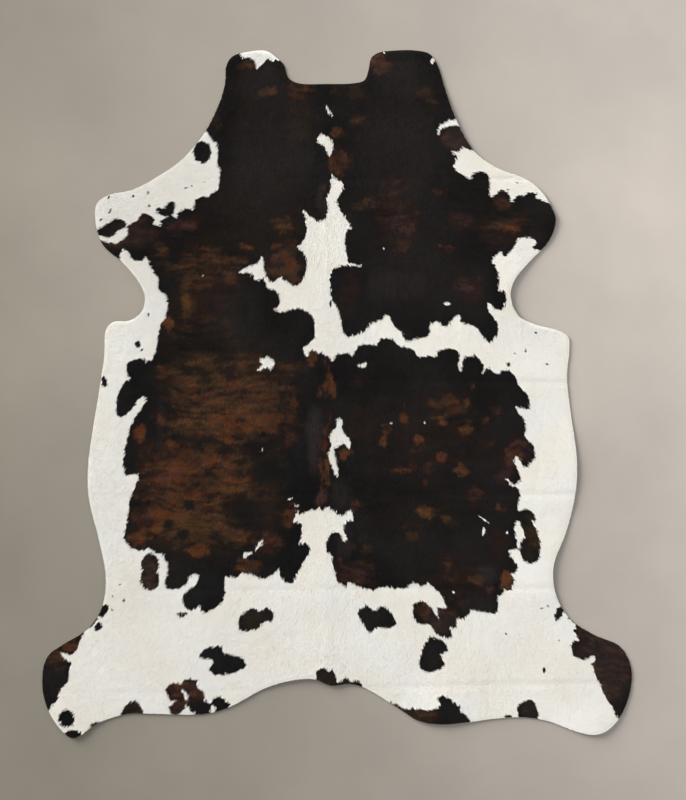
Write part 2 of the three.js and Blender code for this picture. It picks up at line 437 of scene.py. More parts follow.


# %% [markdown]
# ## The markings
#
# A pied coat has patches with a clear edge, and where a dark patch ends the longer hairs
# reach over the white like teeth. Painting such an edge with noise alone would lose the
# shape of the patches, so each patch is a closed curve through a few given points, in
# millimetres on the plan of the hide, and only the fine teeth come from the locks. White
# places that lie on the dark, and lone spots, are kept in tables of their own.

# %% Dark patches
DARK_PATCHES = {
    "left side, neck to loin": [
        (-384, 1183), (-23, 1117), (-20, 735), (-23, 682), (-33, 649), (-30, 608), (-43, 578),
        (-70, 578), (-97, 598), (-114, 615), (-104, 585), (-104, 522), (-130, 488), (-110, 468),
        (-100, 428), (-114, 381), (-137, 361), (-167, 371), (-191, 388), (-211, 374), (-231, 381),
        (-244, 415), (-251, 458), (-267, 435), (-301, 421), (-328, 405), (-291, 405), (-271, 381),
        (-244, 381), (-231, 354), (-207, 348), (-191, 324), (-191, 298), (-207, 281), (-177, 274),
        (-137, 287), (-100, 277), (-80, 254), (-74, 214), (-77, 181), (-100, 164), (-114, 147),
        (-100, 127), (-87, 147), (-57, 137), (-27, 124), (-17, 110), (27, 80), (17, -354),
        (-17, -378), (-40, -364), (-57, -381), (-87, -388), (-124, -405), (-130, -391),
        (-147, -428), (-120, -431), (-117, -475), (-127, -501), (-104, -498), (-90, -522),
        (-120, -578), (-147, -625), (-164, -635), (-187, -615), (-194, -585), (-217, -605),
        (-251, -618), (-304, -598), (-344, -615), (-371, -612), (-378, -682), (-398, -709),
        (-445, -732), (-461, -709), (-475, -722), (-501, -719), (-518, -689), (-505, -662),
        (-468, -632), (-465, -605), (-495, -612), (-505, -639), (-558, -655), (-575, -632),
        (-565, -585), (-585, -535), (-608, -532), (-628, -515), (-649, -525), (-685, -515),
        (-712, -485), (-705, -441), (-689, -344), (-662, -277), (-682, -267), (-705, -274),
        (-715, -241), (-709, -187), (-689, -104), (-639, -23), (-659, -13), (-679, -43),
        (-719, -77), (-739, -60), (-735, -13), (-712, 37), (-695, 50), (-705, 80), (-695, 107),
        (-652, 120), (-635, 107), (-608, 134), (-592, 224), (-572, 261), (-568, 321), (-598, 351),
        (-598, 388), (-622, 418), (-639, 461), (-649, 445), (-679, 448), (-712, 485), (-722, 461),
        (-739, 421), (-819, 475), (-802, 515), (-766, 508), (-732, 505), (-699, 535), (-699, 562),
        (-665, 582), (-652, 603), (-629, 599), (-615, 590), (-612, 575), (-617, 569), (-604, 564),
        (-591, 561), (-588, 580), (-575, 588), (-558, 594), (-546, 594), (-539, 588), (-536, 600),
        (-524, 611), (-506, 617), (-490, 616), (-482, 613), (-481, 627), (-474, 634), (-474, 645),
        (-466, 653), (-450, 657), (-430, 658), (-422, 668), (-408, 677), (-398, 683), (-391, 745),
        (-401, 772), (-401, 826), (-421, 852), (-435, 876), (-471, 896), (-418, 1016),
    ],
    "right shoulder": [
        (-57, 1117), (27, 1083), (84, 1183), (361, 1183), (418, 943), (394, 916), (368, 909),
        (341, 893), (338, 862), (351, 889), (384, 893), (431, 889), (478, 839), (458, 812),
        (421, 819), (405, 806), (381, 809), (401, 789), (394, 752), (421, 732), (448, 717),
        (458, 739), (488, 742), (508, 722), (510, 664), (527, 664), (537, 676), (552, 682),
        (571, 673), (579, 657), (580, 640), (589, 648), (605, 664), (630, 664), (637, 673),
        (664, 671), (668, 662), (662, 654), (686, 648), (715, 632), (766, 622), (766, 515),
        (695, 461), (682, 478), (655, 485), (665, 508), (645, 522), (608, 518), (595, 491),
        (558, 455), (548, 478), (528, 458), (522, 441), (538, 408), (542, 378), (538, 344),
        (555, 344), (565, 324), (555, 284), (532, 281), (505, 304), (508, 277), (532, 241),
        (538, 207), (518, 174), (495, 181), (461, 224), (418, 237), (405, 264), (361, 224),
        (334, 244), (311, 227), (308, 197), (244, 177), (221, 187), (214, 207), (191, 227),
        (170, 264), (144, 244), (117, 237), (97, 214), (50, 191), (23, 201), (13, 247), (3, 281),
        (-17, 314), (-23, 364), (-17, 411), (33, 435), (33, 468), (27, 495), (30, 542), (47, 557),
        (23, 595), (-3, 642), (20, 679), (17, 709), (-20, 735), (-50, 916),
    ],
    "right side, ribs to loin": [
        (-13, 110), (0, 130), (40, 134), (53, 130), (64, 147), (87, 167), (130, 164), (147, 184),
        (181, 184), (214, 157), (251, 150), (271, 124), (304, 127), (331, 124), (344, 147),
        (391, 150), (411, 127), (405, 94), (415, 74), (418, 107), (438, 127), (468, 124), (491, 94),
        (483, 66), (494, 80), (508, 85), (533, 66), (562, 80), (588, 67), (608, 27), (632, 3),
        (645, -33), (635, -53), (598, -43), (605, -64), (625, -84), (632, -120), (628, -144),
        (652, -167), (662, -201), (645, -237), (622, -241), (605, -214), (592, -224), (608, -261),
        (615, -287), (595, -301), (562, -284), (578, -304), (605, -314), (612, -338), (605, -368),
        (608, -391), (639, -384), (662, -408), (662, -431), (652, -428), (675, -475), (679, -518),
        (669, -558), (628, -562), (605, -522), (575, -525), (588, -552), (605, -572), (592, -598),
        (554, -604), (558, -659), (538, -679), (535, -732), (491, -729), (448, -725), (431, -749),
        (401, -752), (398, -779), (354, -776), (338, -742), (341, -712), (364, -715), (351, -679),
        (324, -649), (311, -635), (281, -642), (251, -632), (224, -652), (160, -645), (104, -655),
        (43, -632), (30, -645), (0, -622), (-13, -572), (-20, -538), (-33, -528), (-37, -498),
        (-20, -465), (7, -468), (23, -491), (33, -488), (23, -451), (33, -428), (57, -418),
        (43, -391), (20, -408), (-3, -398), (-30, -378), (-64, -354), (-64, 47),
    ],
    "brown lobe over the loin": [
        (338, -745), (311, -709), (281, -692), (257, -705), (254, -745), (277, -769), (311, -772),
        (328, -799), (358, -816), (384, -809), (374, -776), (358, -742),
    ],
    "left fore shank, spot above": [
        (-606, 612), (-600, 620), (-592, 623), (-585, 618), (-577, 622), (-570, 631), (-563, 640),
        (-554, 642), (-544, 638), (-539, 628), (-542, 615), (-546, 603), (-553, 595), (-572, 593),
        (-590, 597), (-603, 603),
    ],
    "left fore shank, front": [
        (-802, 548), (-776, 562), (-749, 582), (-729, 585), (-702, 568), (-732, 542), (-759, 522),
        (-792, 528), (-826, 528),
    ],
    "left hind shank": [
        (-1000, -822), (-792, -709), (-796, -745), (-819, -779), (-839, -792), (-859, -829),
        (-866, -849), (-889, -873), (-906, -869), (-923, -866), (-906, -889), (-889, -896),
        (-896, -923), (-899, -963), (-926, -990), (-933, -1023), (-956, -1043), (-973, -1070),
        (-1013, -1023),
    ],
    "right hind shank": [
        (786, -756), (802, -762), (852, -782), (1013, -822), (1020, -990), (946, -1083),
        (916, -1040), (896, -1010), (869, -953), (852, -906), (862, -889), (852, -873), (826, -889),
        (792, -876), (782, -842), (789, -826), (809, -826), (789, -789), (802, -782),
    ],
    "left buttock": [
        (-725, -1080), (-715, -1053), (-699, -1036), (-675, -1026), (-659, -1040), (-645, -1076),
        (-685, -1097),
    ],
    "left of the tail": [
        (-571, -992), (-567, -978), (-552, -968), (-537, -964), (-523, -971), (-514, -958),
        (-500, -953), (-466, -954), (-469, -967), (-463, -980), (-447, -994), (-441, -1006),
        (-445, -1020), (-458, -1029), (-500, -1024), (-506, -1033), (-506, -1046), (-525, -1067),
        (-542, -1072), (-556, -1065), (-562, -1054), (-560, -1043), (-547, -1033), (-543, -1024),
        (-558, -1024), (-565, -1014),
    ],
    "left of the tail, black": [
        (-506, -1028), (-487, -1023), (-441, -1025), (-427, -1032), (-423, -1035), (-416, -1022),
        (-407, -1014), (-393, -1010), (-379, -1018), (-372, -1027), (-358, -1035), (-363, -1046),
        (-374, -1057), (-391, -1064), (-405, -1061), (-413, -1053), (-410, -1046), (-420, -1042),
        (-423, -1056), (-412, -1060), (-429, -1070), (-450, -1078), (-478, -1068), (-496, -1047),
    ],
    "tail root": [
        (-70, -943), (-64, -919), (-40, -913), (-27, -926), (-17, -916), (-3, -946), (0, -966),
        (13, -956), (30, -949), (47, -959), (64, -956), (84, -983), (-3, -990), (-64, -976),
    ],
    "right buttock": [
        (177, -1030), (227, -1053), (254, -1050), (314, -1056), (344, -1040), (334, -1016),
        (354, -1006), (381, -1023), (411, -1043), (408, -1056), (431, -1073), (441, -1103),
        (344, -1123), (251, -1103),
    ],
    "right buttock, outer": [
        (605, -1040), (622, -1030), (645, -1020), (665, -1043), (672, -1097), (612, -1097),
    ],
    "croup, far left": [
        (-461, -879), (-441, -852), (-411, -842), (-384, -846), (-378, -866), (-324, -879),
        (-304, -906), (-314, -919), (-358, -936), (-408, -936), (-428, -919), (-415, -903),
        (-421, -889),
    ],
    "croup, left": [
        (-324, -742), (-304, -729), (-284, -715), (-257, -725), (-234, -715), (-211, -735),
        (-217, -759), (-247, -766), (-267, -786), (-318, -792), (-328, -772),
    ],
    "croup, right": [
        (77, -719), (97, -709), (127, -725), (147, -709), (174, -722), (197, -762), (181, -782),
        (134, -782), (110, -799), (87, -769), (70, -739),
    ],
    "croup, far right": [
        (301, -822), (318, -812), (354, -826), (371, -856), (348, -873), (358, -903), (331, -926),
        (291, -929), (274, -899), (284, -859),
    ],
}

# %% White places on the dark
WHITE_PLACES = {
    "blaze on the neck": [
        (-67, 846), (-50, 868), (-23, 849), (-13, 819), (-27, 792), (-40, 822),
    ],
    "neck slit": [
        (-38, 959), (-29, 952), (-15, 930), (-17, 926), (-30, 942),
    ],
    "left neck tab": [
        (-316, 1124), (-290, 1123), (-272, 1108), (-267, 1088), (-247, 1105), (-234, 1119),
        (-216, 1111), (-190, 1119), (-184, 1163), (-312, 1163),
    ],
    "star": [
        (-256, 119), (-249, 117), (-240, 119), (-230, 124), (-221, 118), (-213, 112), (-204, 100),
        (-214, 95), (-217, 79), (-230, 86), (-248, 84), (-268, 76), (-255, 91), (-250, 98),
        (-257, 109),
    ],
    "flash beside the back": [
        (3, -80), (20, -100), (17, -120), (43, -157), (40, -184), (20, -164), (0, -181),
        (-13, -184), (3, -254), (0, -281), (-20, -237), (-30, -207), (-20, -174), (-23, -140),
        (-3, -110),
    ],
    "drop on the ribs": [
        (67, 94), (80, 99), (100, 104), (90, 90), (80, 85),
    ],
    "gap behind the ribs": [
        (608, -425), (592, -445), (598, -478), (608, -528), (612, -498), (628, -478), (618, -448),
    ],
    "spike off the blaze": [
        (27, 440), (50, 434), (87, 427), (50, 427), (27, 430),
    ],
    "slit left of the tail": [
        (-522, -989), (-513, -991), (-504, -1001), (-498, -1015), (-505, -1023), (-512, -1008),
    ],
    "notch at the buttock": [
        (-425, -1063), (-415, -1050), (-405, -1053), (-415, -1066),
    ],
    "notch on the left flank": [
        (-257, -491), (-247, -488), (-264, -518), (-271, -518),
    ],
    "notch on the left flank, lower": [
        (-313, -537), (-300, -531), (-284, -528), (-286, -536), (-300, -543), (-306, -549),
    ],
}

# %% Spots and flecks
OVAL_PATCHES = [              # x, y, half width, half height in mm, and any lean in degrees
    (-451, 807, 30, 37), (-777, 40, 10.7, 20), (-625, -568, 30, 36), (-625, -618, 32, 40),
    (-777, -724, 11.7, 23.4, -25), (-797, -777, 10, 17, -25), (-903, -1083, 27, 30),
    (-883, -1137, 30, 15), (-807, -1103, 20, 8.4, 25), (742, -732, 13.4, 26.7, -20),
    (567, -627, 25, 30), (207, -1050, 23.4, 6.7, -35),
]

SPOTS = [                     # lone small spots, in the same columns
    (-632, 672, 4, 4), (-789, 582, 4, 4), (-756, 615, 4, 4), (-764, 655, 4, 4),
    (-762, 605, 3.3, 3.3), (-628, 628, 4, 4), (-506, 688, 5, 2.3), (-485, 695, 3.3, 2.7),
    (-441, 707, 3.3, 2.7), (-681, 659, 3.7, 3.7), (602, 705, 3, 3), (572, 682, 3, 3),
    (649, 612, 3.3, 8.4), (-630, 264, 3.3, 10), (-665, 165, 10, 12), (-652, 147, 3.3, 3.3),
    (-712, -690, 4.3, 4.3), (-751, -720, 3.3, 3.3), (-749, -675, 3.3, 3.3), (-725, -635, 3.3, 3.3),
    (-528, -735, 10, 4.3), (-518, -742, 10, 5), (-508, -734, 10, 4.3), (572, -1076, 13.4, 5),
    (692, -924, 5, 8.4), (682, -715, 5, 2.7), (705, -709, 5, 2.7), (742, -822, 3.3, 3.3),
    (565, -802, 3.3, 3.3), (777, -749, 6.7, 4), (792, -762, 6.7, 4), (929, -1066, 5, 3.3),
    (664, 204, 4, 4), (632, 144, 5, 5), (573, 97, 6, 7.4), (702, 100, 4, 4), (595, 134, 3.3, 3.3),
    (-22, 301, 3.3, 10),
]

FLECKS_AND_RIM_HIGHLIGHT = [                    # small white flecks on the dark, in the same columns; the first row is a painted highlight, a thin light line along the rim of the neck
    (159, 1139, 7, 2.2, -20), (319, 1111, 6, 8), (155, 483, 4, 4), (368, 301, 10, 4.3),
    (181, -97, 7, 2), (291, -97, 5, 2), (490, -419, 21, 1.7, -35), (489, -458, 4.4, 15, -8),
    (568, -463, 3.3, 5), (-157, -351, 9, 1.8, 12), (-137, -373, 9, 1.8, -8),
    (-251, -187, 3.2, 1.4, 40), (-447, 395, 1.6, 2.6), (389, -662, 3, 3.3),
]

# %% Is a place dark?
CURVE_STEPS = 4               # straight pieces between two points of a curve


def closed_curve(points):
    """A smooth closed curve through the points, as an array of places in metres."""
    p = np.array(points, float) * MM
    before, after, beyond = np.roll(p, 1, 0), np.roll(p, -1, 0), np.roll(p, -2, 0)
    steps = []
    for k in range(CURVE_STEPS):
        t = k / CURVE_STEPS
        straight = p + (after - p) * t
        leaving, arriving = -t * (1 - t) ** 2 / 2, -t ** 2 * (1 - t) / 2
        bend = leaving * (before - 2 * p + after) + arriving * (p - 2 * after + beyond)
        steps.append(straight + bend)
    return np.stack(steps, 1).reshape(-1, 2)


def within_curve(curve, x, y):
    """True where a place lies inside a closed curve."""
    found = np.zeros(len(x), bool)
    low, high = curve.min(0), curve.max(0)
    near = np.flatnonzero((x > low[0]) & (x < high[0]) & (y > low[1]) & (y < high[1]))
    px, py, odd = x[near], y[near], np.zeros(len(near), bool)
    for (ax, ay), (bx, by) in zip(curve, np.roll(curve, -1, 0)):
        if ay != by:
            odd ^= ((ay > py) != (by > py)) & (px < (bx - ax) * (py - ay) / (by - ay) + ax)
    found[near] = odd
    return found


def oval_distance(x, y, row):
    """Distance from the middle of an oval, where 1 is its edge, for a row of the tables."""
    centre_x, centre_y, half_width, half_height, *lean = row
    turn = math.radians(lean[0]) if lean else 0.0
    dx, dy = x - centre_x * MM, y - centre_y * MM
    across = dx * math.cos(turn) + dy * math.sin(turn)
    up = dy * math.cos(turn) - dx * math.sin(turn)
    return np.hypot(across / (half_width * MM), up / (half_height * MM))


dark_curves = [closed_curve(points) for points in DARK_PATCHES.values()]
white_curves = [closed_curve(points) for points in WHITE_PLACES.values()]


def in_patches(x, y):
    """True where a place lies in a dark patch and in none of the white places."""
    dark = np.zeros(len(x), bool)
    for curve in dark_curves:
        dark |= within_curve(curve, x, y)
    for row in OVAL_PATCHES:
        dark |= oval_distance(x, y, row) < 1
    for curve in white_curves:
        dark &= ~within_curve(curve, x, y)
    return dark


def with_spots(dark, x, y):
    """Adds the lone dark spots and takes out the white flecks and the painted rim highlight. Gives
    1 for dark, 0 for white.
    """
    for row in SPOTS:
        dark = dark | (oval_distance(x, y, row) < 1)
    for row in FLECKS_AND_RIM_HIGHLIGHT:
        dark = dark & (oval_distance(x, y, row) > 1)
    return dark.astype(float)


print("dark patches:", len(dark_curves), "white places:", len(white_curves), "spots:", len(SPOTS))

# %% [markdown]
# ## Brindle
#
# The dark hair is not all black. On the left side it is brindled brown all over, and on
# the right and the neck brown and rust only break through in places. Brindle runs down
# the animal's side, so across the laid-out hide, in long wisps that dissolve into mottles.
# Each row below is an oval with its own strength and tint of brown. The ovals are looked
# up at places that waves have pushed about, and mottles eat into their edges, so none of
# them shows as an oval. Wisps then lift or sink the brown everywhere.

# %% Brown places
BROWN = [                     # x, y, half width, half height in mm, strength, tint
    # neck and left shoulder
    (-294, 1107, 27, 20, 0.5, -0.3), (-227, 1003, 27, 23, 0.7, -0.2),
    (-276, 986, 32, 20, 0.3, -0.3), (-127, 1011, 50, 25, 0.35, -0.3), (-137, 914, 47, 85, 0.2, 0.3),
    (-411, 918, 27, 42, 0.2, -0.3), (10, 1015, 33, 25, 0.3, 0), (-7, 876, 33, 23, 0.52, -0.4),
    (7, 776, 37, 47, 0.5, -0.5), (-38, 672, 15, 40, 0.35, -0.6), (-654, 578, 42, 30, 0.32, -0.6),
    (-528, 560, 66, 28, 0.32, -1), (-598, 483, 40, 22, 0.38, 0.3), (-431, 411, 134, 84, 0.42, -0.2),
    (-321, 450, 43, 22, 0.5, -0.1), (-298, 496, 33, 12, 0.55, 0), (-179, 421, 72, 60, 0.58, -0.1),
    (-184, 558, 53, 37, 0.44, 0.4), (-176, 501, 55, 23, 0.48, -0.2), (-511, 304, 27, 64, 0.55, 0.3),
    (-573, 237, 22, 30, 0.95, 0.1), (-455, 212, 117, 75, 0.26, -0.1),
    (-690, 530, 95, 45, 0.28, -0.5),
    # left side
    (-354, 85, 247, 38, 0.42, 0.1), (-349, 97, 65, 10, 0.55, 0.2), (-500, 80, 52, 10, 0.5, 0.1),
    (-346, -20, 202, 67, 0.5, 0), (-578, 69, 33, 32, 0.42, -0.6), (-657, -129, 22, 32, 0.95, -0.4),
    (-585, -90, 20, 23, 0.75, -0.2), (-366, -95, 242, 59, 0.58, 0), (-408, -82, 37, 32, 0.88, -0.3),
    (-222, -80, 65, 47, 0.62, 0.2), (-306, -120, 22, 13, 0.85, -0.4),
    (-359, -149, 25, 15, 0.75, -0.35), (-545, -170, 33, 23, 0.75, -0.2),
    (-361, -199, 70, 28, 0.4, -0.3), (-436, -232, 25, 18, 1, -0.2), (-150, -74, 27, 114, 0.3, -0.8),
    (-231, -212, 77, 59, 0.22, 0.2), (-563, -244, 92, 70, 0.45, -0.6),
    (-396, -284, 89, 30, 0.3, -0.2), (-523, -358, 155, 50, 0.68, -0.2),
    (-338, -319, 53, 15, 0.6, 0), (-613, -423, 89, 32, 0.65, -0.3),
    (-667, -486, 48, 38, 0.75, -0.4), (-603, -455, 38, 27, 0.85, 0),
    (-470, -445, 69, 53, 0.62, 0.2), (-466, -522, 38, 33, 1, -0.35), (-361, -461, 70, 53, 0.55, 0),
    (-234, -495, 57, 40, 0.42, -0.5), (-298, -568, 47, 30, 0.5, -0.2),
    (-162, -401, 35, 40, 0.4, -0.6), (-625, -597, 33, 65, 0.44, 0), (-535, -588, 43, 67, 0.1, -1),
    (-620, -215, 38, 62, 0.36, 0),
    # back
    (-79, 125, 22, 25, 0.72, -0.7), (-37, 107, 20, 27, 0.36, -0.8), (-21, 33, 19, 60, 0.85, -0.4),
    (-48, 17, 8, 30, 0.4, -1), (-35, -142, 15, 112, 0.36, -0.3), (-37, -262, 23, 59, 0.55, -0.3),
    (-53, -348, 23, 40, 0.42, -0.9), (23, -197, 27, 23, 0.8, 0), (53, -598, 70, 50, 0.3, -0.8),
    (10, -558, 20, 17, 0.42, -0.2),
    # right shoulder
    (142, 1098, 38, 45, 0.5, -0.7), (57, 1008, 43, 22, 0.22, 0), (309, 991, 35, 35, 0.28, -0.2),
    (64, 916, 37, 20, 0.4, -0.2), (197, 612, 80, 150, 0.2, -0.7), (211, 714, 33, 32, 0.4, -0.4),
    (110, 640, 20, 25, 0.3, 0), (194, 662, 23, 30, 0.32, -0.8), (334, 687, 23, 15, 0.3, -0.2),
    (398, 849, 56, 46, 0.48, -0.6), (85, 635, 32, 17, 0.3, 0.2), (222, 572, 45, 50, 0.36, -0.8),
    (226, 498, 32, 23, 0.42, -0.2), (267, 600, 30, 8, 0.42, 0), (411, 580, 47, 38, 0.3, -0.9),
    (368, 490, 27, 12, 0.42, -0.2), (583, 563, 48, 15, 0.55, -0.35), (570, 565, 79, 30, 0.34, -0.2),
    (548, 642, 30, 33, 0.4, -0.3), (433, 351, 55, 43, 0.26, -0.8), (466, 384, 18, 17, 0.32, -1),
    (40, 339, 40, 75, 0.15, -0.5), (42, 598, 15, 23, 0.2, -0.8), (562, 557, 117, 75, 0.14, -0.3),
    # right side
    (364, -43, 74, 50, 0.36, -0.2), (318, -22, 20, 18, 0.5, 0.3), (425, -33, 13, 13, 0.6, 0.1),
    (351, -80, 20, 17, 0.62, -0.3), (388, -30, 23, 30, 0.42, -0.9), (226, -87, 18, 20, 0.8, -0.4),
    (224, -45, 10, 12, 0.4, -1), (155, -142, 15, 22, 0.8, -0.15), (159, -114, 25, 13, 0.5, -0.8),
    (272, -145, 22, 18, 0.7, -0.35), (282, -179, 42, 15, 0.36, 0), (349, -214, 22, 20, 0.72, -0.35),
    (423, -119, 22, 22, 0.5, -0.1), (493, -102, 15, 18, 0.42, -0.6), (522, -52, 27, 18, 0.26, -0.9),
    (411, -261, 33, 17, 0.68, 0), (406, -241, 12, 13, 0.42, 0.3), (217, -254, 37, 17, 0.55, 0.1),
    (254, -246, 20, 18, 0.32, -0.8), (309, -251, 25, 20, 0.34, -0.8),
    (291, -299, 17, 22, 0.36, -0.2), (466, -326, 25, 15, 0.3, -1), (446, 28, 15, 18, 0.34, -0.8),
    (600, -194, 52, 53, 0.42, -0.7), (552, -247, 60, 53, 0.2, -0.8),
    (505, -165, 40, 18, 0.22, -0.7), (72, -55, 18, 12, 0.24, -0.4), (64, 33, 33, 27, 0.14, -0.8),
    (87, -114, 64, 80, 0.1, -0.5), (311, -396, 43, 25, 0.55, -0.1), (364, -416, 20, 18, 0.5, 0.3),
    (323, -381, 32, 7, 0.72, -0.3), (249, -475, 25, 23, 0.42, 0), (97, -515, 20, 17, 0.34, 0.3),
    (374, -431, 30, 17, 0.3, 0), (456, -341, 22, 23, 0.28, -0.8), (538, -369, 13, 12, 0.6, -0.3),
    (560, -386, 15, 12, 0.36, -0.8), (62, -363, 15, 18, 0.34, 0), (284, -435, 80, 10, 0.2, 0),
    (374, -587, 27, 48, 0.4, -0.2), (465, -628, 30, 20, 0.52, 0.1), (511, -657, 20, 18, 0.36, -0.6),
    (364, -615, 13, 20, 0.3, -0.5), (423, -699, 28, 10, 0.3, -0.6), (567, -627, 25, 32, 1, 0),
    (538, -495, 33, 60, 0.16, -0.5), (344, -145, 201, 142, 0.1, -0.4),
    (411, -597, 134, 92, 0.12, -0.4), (642, -480, 40, 80, 0.26, 0.6),
    # croup and shanks
    (289, -730, 38, 32, 0.48, -0.4), (351, -764, 44, 32, 0.44, -0.2),
    (371, -751, 44, 38, 0.4, -0.4), (279, -1071, 55, 28, 0.3, -0.1), (888, -899, 110, 140, 0.42, 0),
    (851, -831, 22, 18, 0.7, 0), (-928, -896, 42, 40, 0.42, -0.3), (-889, -844, 30, 32, 0.55, -0.1),
    (-506, -1008, 92, 80, 0.46, -0.9), (-268, -750, 62, 42, 0.17, 0.6),
    (-10, -952, 70, 34, 0.2, 0.5), (642, -1062, 40, 44, 0.18, 0.7),
    (-685, -1056, 44, 34, 0.28, 0.7),
]

SADDLES = [                   # wide ovals with an even brindle, in the same columns
    (-370, -20, 235, 190, 0.47, 0), (-450, -330, 250, 215, 0.58, 0), (-400, 240, 220, 160, 0.22, 0),
    (-300, 560, 290, 240, 0.08, 0), (-210, 930, 200, 220, 0.06, 0), (300, -250, 330, 420, 0.04, 0),
    (300, 650, 300, 420, 0.03, 0), (170, 900, 230, 230, 0.03, 0),
]

SHEEN_AND_WEAR_PLACES = [                      # grey places, partly worn hair and partly painted sheen: x, y, half width, half height, strength
    (-625, -595, 30, 67, 0.6), (-74, -159, 30, 122, 1), (-585, -134, 13, 154, 0.35),
    (12, -336, 35, 65, 0.45), (22, -510, 38, 38, 0.6), (501, -608, 43, 40, 0.75),
    (470, -707, 65, 38, 0.4), (211, 361, 120, 70, 0.55), (-324, 272, 100, 109, 0.4),
    (60, 766, 184, 117, 0.1), (-204, 816, 147, 234, 0.5), (182, 816, 155, 217, 0.4),
    (227, 406, 184, 192, 0.22), (-50, 644, 20, 55, 0.6), (27, -448, 23, 27, 0.5),
    (89, -480, 28, 25, 0.3), (888, -899, 110, 140, 0.62), (345, -765, 54, 48, 0.6),
    (-10, -952, 70, 34, 0.45), (642, -1062, 40, 44, 0.35), (-690, 530, 100, 52, 0.36),
    (-268, -750, 62, 42, 0.3), (325, -868, 48, 60, 0.28), (-180, 440, 72, 64, 0.3),
    (398, 849, 56, 46, 0.8), (-940, -960, 45, 70, 0.3), (-257, 1035, 95, 85, 0.5),
    (217, 1035, 110, 90, 0.4),
]

BLACK = [                     # places without any brown, in the same columns
    (-461, -1051, 40, 28, 1), (-386, -1038, 32, 28, 1), (-269, 277, 89, 124, 1),
    (-682, -216, 27, 52, 1), (-555, -435, 20, 20, 1), (-513, -465, 18, 20, 1),
    (-490, -379, 18, 18, 1), (-308, -391, 77, 64, 0.9), (-231, -264, 77, 50, 0.9),
    (-47, 963, 30, 74, 1), (-33, 839, 13, 84, 0.8), (-47, 87, 13, 50, 0.9),
    (-622, 15, 30, 75, 0.75), (-358, 77, 43, 20, 0.6), (-376, -189, 38, 25, 0.8),
    (-246, -194, 69, 53, 0.6), (-451, 181, 100, 47, 0.6),
]

# %% How brown, and how grey
BLUR_LOW, BLUR_HIGH = 0.45, 1.25  # an oval fades out between these distances from its middle
RAGGED = 0.9                  # how far mottles eat into an oval or spread out of it
MOTTLES = [                   # length, width in mm, share and seed of each size of mottle
    (26, 20, 0.6, 81), (10, 8, 0.4, 82),
]
PUSHES = [                    # size and reach in mm of the waves that push places about, two seeds
    (55, 22, 41, 51), (17, 12, 42, 52),
]
WISPS = [                     # length, width in mm and share of each size of wisp, two seeds
    (84, 10, 0.26, 61, 71), (42, 8, 0.24, 62, 72), (36, 22, 0.28, 63, 73), (14, 8, 0.22, 64, 74),
]
WISP_BEND = 75 * MM
WISP_CONTRAST = 2.1
WISP_PULL = 0.85              # how far the wisps lift or sink a full brown
WISP_ONSET = 2.2              # the wisps pull in full where the brown is 1 / WISP_ONSET or more
BACK_HALF = 26 * MM           # nearer the back line than this, wisps run along it
TINT_REST = 0.05              # keeps faint ovals from setting the tint
TINT_DRIFT = 0.3
TINT_QUICK = 1.4              # weight of the quick waves in the drift, where the slow ones weigh 1


def faded(row, x, y, nearer=0.0):
    """How near a place is to an oval's middle: 1 inside it, falling softly to 0."""
    return 1 - eased(oval_distance(x, y, row[:4]) - nearer, BLUR_LOW, BLUR_HIGH)


def strength(rows, x, y, nearer=0.0):
    """The strongest pull of any oval in the table at each place."""
    return np.max([row[4] * faded(row, x, y, nearer) for row in rows], axis=0)


def pushed(x, y):
    """The places, pushed about by slow and by quick waves."""
    at_x, at_y = x, y
    for size, reach, seed_x, seed_y in PUSHES:
        at_x = at_x + reach * MM * (waves(x, y, size, size, seed_x) - 0.5)
        at_y = at_y + reach * MM * (waves(x, y, size, size, seed_y) - 0.5)
    return at_x, at_y


def wisps(x, y):
    """Long wisps and short mottles together, from 0 to 1."""
    bent = y + WISP_BEND / 2 * swing("wisp bend", x, y)
    beside = eased(np.abs(x - BACK_LINE), BACK_HALF, 2 * BACK_HALF)
    total = np.zeros(len(x))
    for length, width, share, seed_over, seed_down in WISPS:
        over = waves(x, bent, length, width, seed_over)
        down = waves(x, y, width / 2, length / 2, seed_down)
        total += share * (beside * over + (1 - beside) * down)
    return np.clip(0.5 + WISP_CONTRAST * (total - 0.5), 0, 1)


def brownness(x, y, at):
    """0 for black, about 0.5 for brown and 1 for bright rust."""
    mottle = sum(share * waves(x, y, length, width, seed) for length, width, share, seed in MOTTLES)
    pull = np.maximum(strength(BROWN, *at, RAGGED * (mottle - 0.5)), strength(SADDLES, *at))
    pull = pull * (1 - strength(BLACK, *at))
    lift = WISP_PULL * (wisps(x, y) - 0.5) * np.minimum(1, WISP_ONSET * pull)
    return np.clip(pull + lift, 0, 1)


def tint(x, y, at):
    """0 for a maroon brown, 0.3 for rust, 0.5 for a plain brown and 1 for olive."""
    pulls = [(row[4] * faded(row, *at), row[5]) for row in BROWN]
    total = TINT_REST + sum(pull for pull, _ in pulls)
    lean = sum(pull * value for pull, value in pulls) / total
    slow, quick = (waves(x, y, *FIELDS[name]) for name in ("slow tint", "quick tint"))
    drift = slow + TINT_QUICK * quick - (1 + TINT_QUICK) / 2
    return np.clip(0.5 + 0.5 * lean + TINT_DRIFT * drift, 0, 1)


def dark_values(x, y):
    """How brown and of what tint dark hair is, and how grey from wear and painted sheen, under the
    shader's names.
    """
    at = pushed(x, y)
    # grey from worn hair, and painted sheen where the hair lies another way
    sheen_and_wear = strength(SHEEN_AND_WEAR_PLACES, *at) * (0.5 + 0.5 * waves(x, y, *FIELDS["sheen_and_wear"]))
    return {"brown": brownness(x, y, at), "tint": tint(x, y, at), "grey": sheen_and_wear}

